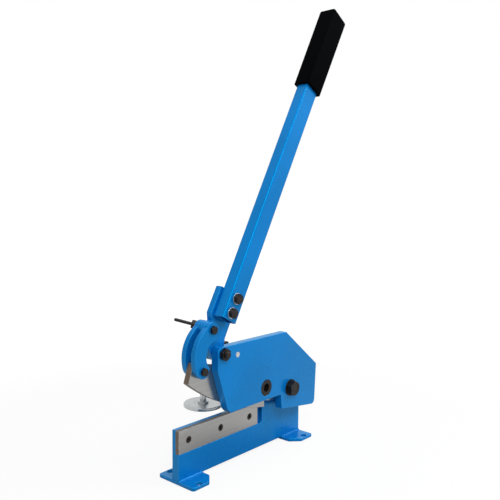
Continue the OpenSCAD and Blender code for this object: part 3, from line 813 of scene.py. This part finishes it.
class SHEAR_OT_plates(ShearOperator, bpy.types.Operator):
    """Make the enamelled plates: frame, feet, cheek, spacer, lever plate, links and sleeve"""

    bl_idname = "shear.plates"
    bl_label = "Enamelled plates"

    nodes = ("main_frame", "near_foot", "far_foot", "front_cheek", "cheek_spacer",
             "lever_plate", "front_link", "rear_link", "tie_sleeve", "handle_tube")

    reshaped = {"front_link": carry_arc_round_foot, "rear_link": carry_arc_round_foot}

    def make(self):
        for node in self.nodes:
            dress(node, "enamel", "enamel_edge", detail_values().plate_edge,
                  reshape=self.reshaped.get(node))


class SHEAR_OT_welds(ShearOperator, bpy.types.Operator):
    """Make the weld beads along the feet and on the end of the cheek's spacer"""

    bl_idname = "shear.welds"
    bl_label = "Weld beads"

    def paths(self):
        """Ends of each bead: four along the feet and two up the spacer."""
        size = detail_values().weld_size
        inset = WELD_INSET * size
        spare = WELD_SPARE * size
        front, back = low("cheek_spacer").y, high("cheek_spacer").y
        rear = high("main_frame").y
        floor = low("main_frame").z + inset
        for foot in ("near_foot", "far_foot"):
            ends = [low(foot).x + spare, high(foot).x - spare]
            yield [(x, back - inset, floor) for x in ends]
            yield [(x, rear + inset, floor) for x in ends]
        spacer = [low("cheek_spacer").z + spare, high("cheek_spacer").z - spare]
        for y in (front, back):
            yield [(high("cheek_spacer").x, y, z) for z in spacer]

    def make(self):
        points = [point for path in self.paths() for point in path]
        edges = [(i, i + 1) for i in range(0, len(points), 2)]
        mesh = bpy.data.meshes.new("weld_beads")
        mesh.from_pydata(points, edges, [])
        beads = new_object("weld_beads", mesh)
        values = detail_values()
        # The beads take the edge enamel, with its chips and its paler, partly painted highlight
        # colour.
        former = weld_former(material("enamel_edge"))
        former.form(beads, {"Radius": values.weld_size, "Pitch": values.weld_pitch})
        settle(smooth(beads, 60), BODY_OF["main_frame"])


class SHEAR_OT_blades(ShearOperator, bpy.types.Operator):
    """Make the two ground blades"""

    bl_idname = "shear.blades"
    bl_label = "Blades"

    def make(self):
        width = detail_values().blade_edge
        dress("lower_blade", "blade_steel", "steel_edge", width)
        dress("upper_blade", "blade_steel", "steel_edge", width, reshape=lean_blade_end)


class SHEAR_OT_fasteners(ShearOperator, bpy.types.Operator):
    """Make the bolts, nuts, washers, bushes and the hold-down's black pieces"""

    bl_idname = "shear.fasteners"
    bl_label = "Fasteners and bushes"

    threaded = {
        "lever_pivot_bolt": "lever_pivot_nut", "blade_pivot_bolt": "blade_pivot_nut",
        "tube_bolts": "tube_nuts", "lower_link_bolt": "link_nuts",
        "lower_blade_screws": "lower_blade_nuts",
    }
    black = ("fixed_cutter_bush", "moving_cutter_bush", "lower_blade_nuts",
             "blade_pivot_nut", "blade_pivot_washers", "lever_pivot_washer",
             "lever_pivot_nut", "tube_nuts", "upper_link_bolt", "link_washers",
             "link_nuts", "holddown_arm", "tie_nut", "holddown_disc_screw",
             "holddown_hub", "holddown_rod", "holddown_lock_nut")

    def make(self):
        width = detail_values().small_edge
        for bolts, nuts in self.threaded.items():
            dress(bolts, "oxide", "oxide_edge", width, stubs_past(bolts, nuts))
        for node in self.black:
            dress(node, "oxide", "oxide_edge", width)
        dress("tube_washers", "zinc", "zinc", width)
        dress("tie_pin", "zinc", "zinc", width, stubs_past("tie_pin", "tie_nut"))


class SHEAR_OT_holddown(ShearOperator, bpy.types.Operator):
    """Make the pressure disc and the threaded spindle"""

    bl_idname = "shear.holddown"
    bl_label = "Hold-down"

    def make(self):
        width = detail_values().small_edge
        dress("holddown_disc", "zinc_disc", "zinc", width)
        lo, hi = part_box("holddown_spindle")
        start = (lo + hi) / 2
        start.z = high("holddown_disc").z + detail_values().plain_end
        stub = Stub(start, 2, hi.z - start.z, (hi.x - lo.x) / 2)
        dress("holddown_spindle", "zinc", "zinc", width, [stub])
        self.make_bar_boss(width)

    def make_bar_boss(self, width):
        """The boss of the hub that the bar screws into, along the bar's own axis."""
        ends = [vert.co for vert in frame["nodes"]["holddown_rod"].data.vertices]
        split = middle("holddown_rod").x
        near, tip = (sum(group, Vector()) / len(group) for group in (
            [end for end in ends if end.x > split], [end for end in ends if end.x < split]))
        axis = (tip - near).normalized()
        start = near - axis * (near - middle("holddown_hub")).length
        turn = Vector((0, 0, 1)).rotation_difference(axis).to_matrix().to_4x4()
        work = bmesh.new()
        bmesh.ops.create_cone(
            work, cap_ends=True, segments=THREAD_SIDES, radius1=BOSS_RADIUS,
            radius2=BOSS_RADIUS, depth=BOSS_REACH,
            matrix=Matrix.Translation(start + axis * BOSS_REACH / 2) @ turn)
        boss = rounded(write(work, "bar_boss", "oxide", "oxide_edge"), 3 * width)
        settle(smooth(boss), BODY_OF["holddown_hub"])


class SHEAR_OT_grip(ShearOperator, bpy.types.Operator):
    """Make the rubber grip"""

    bl_idname = "shear.grip"
    bl_label = "Grip"

    def make(self):
        dress("handle_grip", "rubber", "rubber", detail_values().small_edge)


def camera_axes(stage):
    """Right, up and forward of the camera."""
    yaw, pitch, roll = stage.yaw, stage.pitch, stage.roll
    forward = Vector((math.sin(yaw) * math.cos(pitch), math.cos(yaw) * math.cos(pitch),
                      -math.sin(pitch)))
    level = Vector((math.cos(yaw), -math.sin(yaw), 0))
    up = level.cross(forward)
    right = math.cos(roll) * level + math.sin(roll) * up
    return right, right.cross(forward), forward


def lamp(name, place, target, size, power):
    """A round area lamp that faces its target."""
    data = bpy.data.lights.new(name, "AREA")
    data.shape = "DISK"
    data.size = size
    data.energy = power
    made = bpy.data.objects.new(name, data)
    made.location = place
    made.rotation_mode = "QUATERNION"
    made.rotation_quaternion = (Vector(target) - Vector(place)).to_track_quat("-Z", "Y")
    bpy.context.scene.collection.objects.link(made)


def white_for_camera(board, lit, plain, share, mirrored):
    """Shows plain white to the camera and to mirrors, by their shares, and lit to all else."""
    path = board.tree.nodes.new("ShaderNodeLightPath").outputs
    seen = Wire(board, path["Is Camera Ray"]).larger(Wire(board, path["Is Transmission Ray"]))
    factor = (seen * share).larger(Wire(board, path["Is Glossy Ray"]) * mirrored)
    return board.node("ShaderNodeMixShader", inputs={0: factor, 1: lit, 2: plain})


class SHEAR_OT_stage(ShearOperator, bpy.types.Operator):
    """Make the pale floor, the white surround, the lamps and the camera"""

    bl_idname = "shear.stage"
    bl_label = "Stage"

    def make(self):
        stage = bpy.context.scene.shear_stage
        self.make_floor(stage)
        self.make_surround(stage)
        for name, (place, target, size, power) in LAMPS.items():
            lamp(name, place, target, size, getattr(stage, power))
        self.make_camera(stage)
        bpy.context.scene.view_settings.view_transform = "Standard"

    def make_floor(self, stage):
        half = stage.floor_width / 2
        mesh = bpy.data.meshes.new("floor")
        corners = [(-half, -half, 0), (half, -half, 0), (half, half, 0), (-half, half, 0)]
        mesh.from_pydata(corners, [], [(0, 1, 2, 3)])
        floor = new_object("floor", mesh)
        surface = bpy.data.materials.new("floor_white")
        surface.use_nodes = True
        board = Board(surface.node_tree)
        board.tree.nodes.clear()
        tone = (FLOOR_TONE, FLOOR_TONE, FLOOR_TONE, 1)
        lit = board.node("ShaderNodeBsdfDiffuse", inputs={"Color": tone})
        plain = board.node("ShaderNodeEmission", inputs={"Strength": FLOOR_WHITE})
        x, y, _ = board.parts(board.node("ShaderNodeTexCoord", out="Object"))
        away = (x * x + y * y).root()
        shown = WHITE_NEAR + (1 - WHITE_NEAR) * away.step(*WHITE_FADE)
        mix = white_for_camera(board, lit, plain, shown, away.step(*MIRROR_FADE))
        board.node("ShaderNodeOutputMaterial", inputs={"Surface": mix})
        mesh.materials.append(surface)

    def make_surround(self, stage):
        world = bpy.data.worlds.new("surround")
        bpy.context.scene.world = world
        world.use_nodes = True
        board = Board(world.node_tree)
        board.tree.nodes.clear()
        lit, plain = (
            board.node("ShaderNodeBackground", inputs={"Color": (1, 1, 1, 1), "Strength": level})
            for level in (stage.sky, 1.0))
        mix = white_for_camera(board, lit, plain, 1.0, 1.0)
        board.node("ShaderNodeOutputWorld", inputs={"Surface": mix})

    def make_camera(self, stage):
        data = bpy.data.cameras.new("camera")
        data.lens = stage.lens
        data.clip_start = 0.01
        camera = bpy.data.objects.new("camera", data)
        right, up, forward = camera_axes(stage)
        turn = Matrix((right, up, -forward)).transposed().to_4x4()
        camera.matrix_world = Matrix.Translation(stage.eye) @ turn
        bpy.context.scene.collection.objects.link(camera)
        bpy.context.scene.camera = camera


OPERATORS = (
    SHEAR_OT_stage,
    SHEAR_OT_plates,
    SHEAR_OT_welds,
    SHEAR_OT_blades,
    SHEAR_OT_fasteners,
    SHEAR_OT_holddown,
    SHEAR_OT_grip,
)


class SHEAR_PT_panel(bpy.types.Panel):
    """Lists the steps that dress the shear and the values that they use"""

    bl_idname = "SHEAR_PT_panel"
    bl_label = "Bench lever shear"
    bl_space_type = "VIEW_3D"
    bl_region_type = "UI"
    bl_category = "Shear"

    def draw(self, context):
        for step in OPERATORS:
            self.layout.operator(step.bl_idname)
        for name, group in GROUPS:
            box = self.layout.box()
            for field in group.__annotations__:
                box.prop(getattr(context.scene, name), field)


def register():
    for name, group in GROUPS:
        bpy.utils.register_class(group)
        setattr(bpy.types.Scene, name, bpy.props.PointerProperty(type=group))
    for step in OPERATORS:
        bpy.utils.register_class(step)
    bpy.utils.register_class(SHEAR_PT_panel)


def unregister():
    bpy.utils.unregister_class(SHEAR_PT_panel)
    for step in reversed(OPERATORS):
        bpy.utils.unregister_class(step)
    for name, group in reversed(GROUPS):
        delattr(bpy.types.Scene, name)
        bpy.utils.unregister_class(group)


def main():
    """Runs every step."""
    register()
    for step in OPERATORS:
        family, name = step.bl_idname.split(".")
        getattr(getattr(bpy.ops, family), name)()


if __name__ == "__main__":
    main()
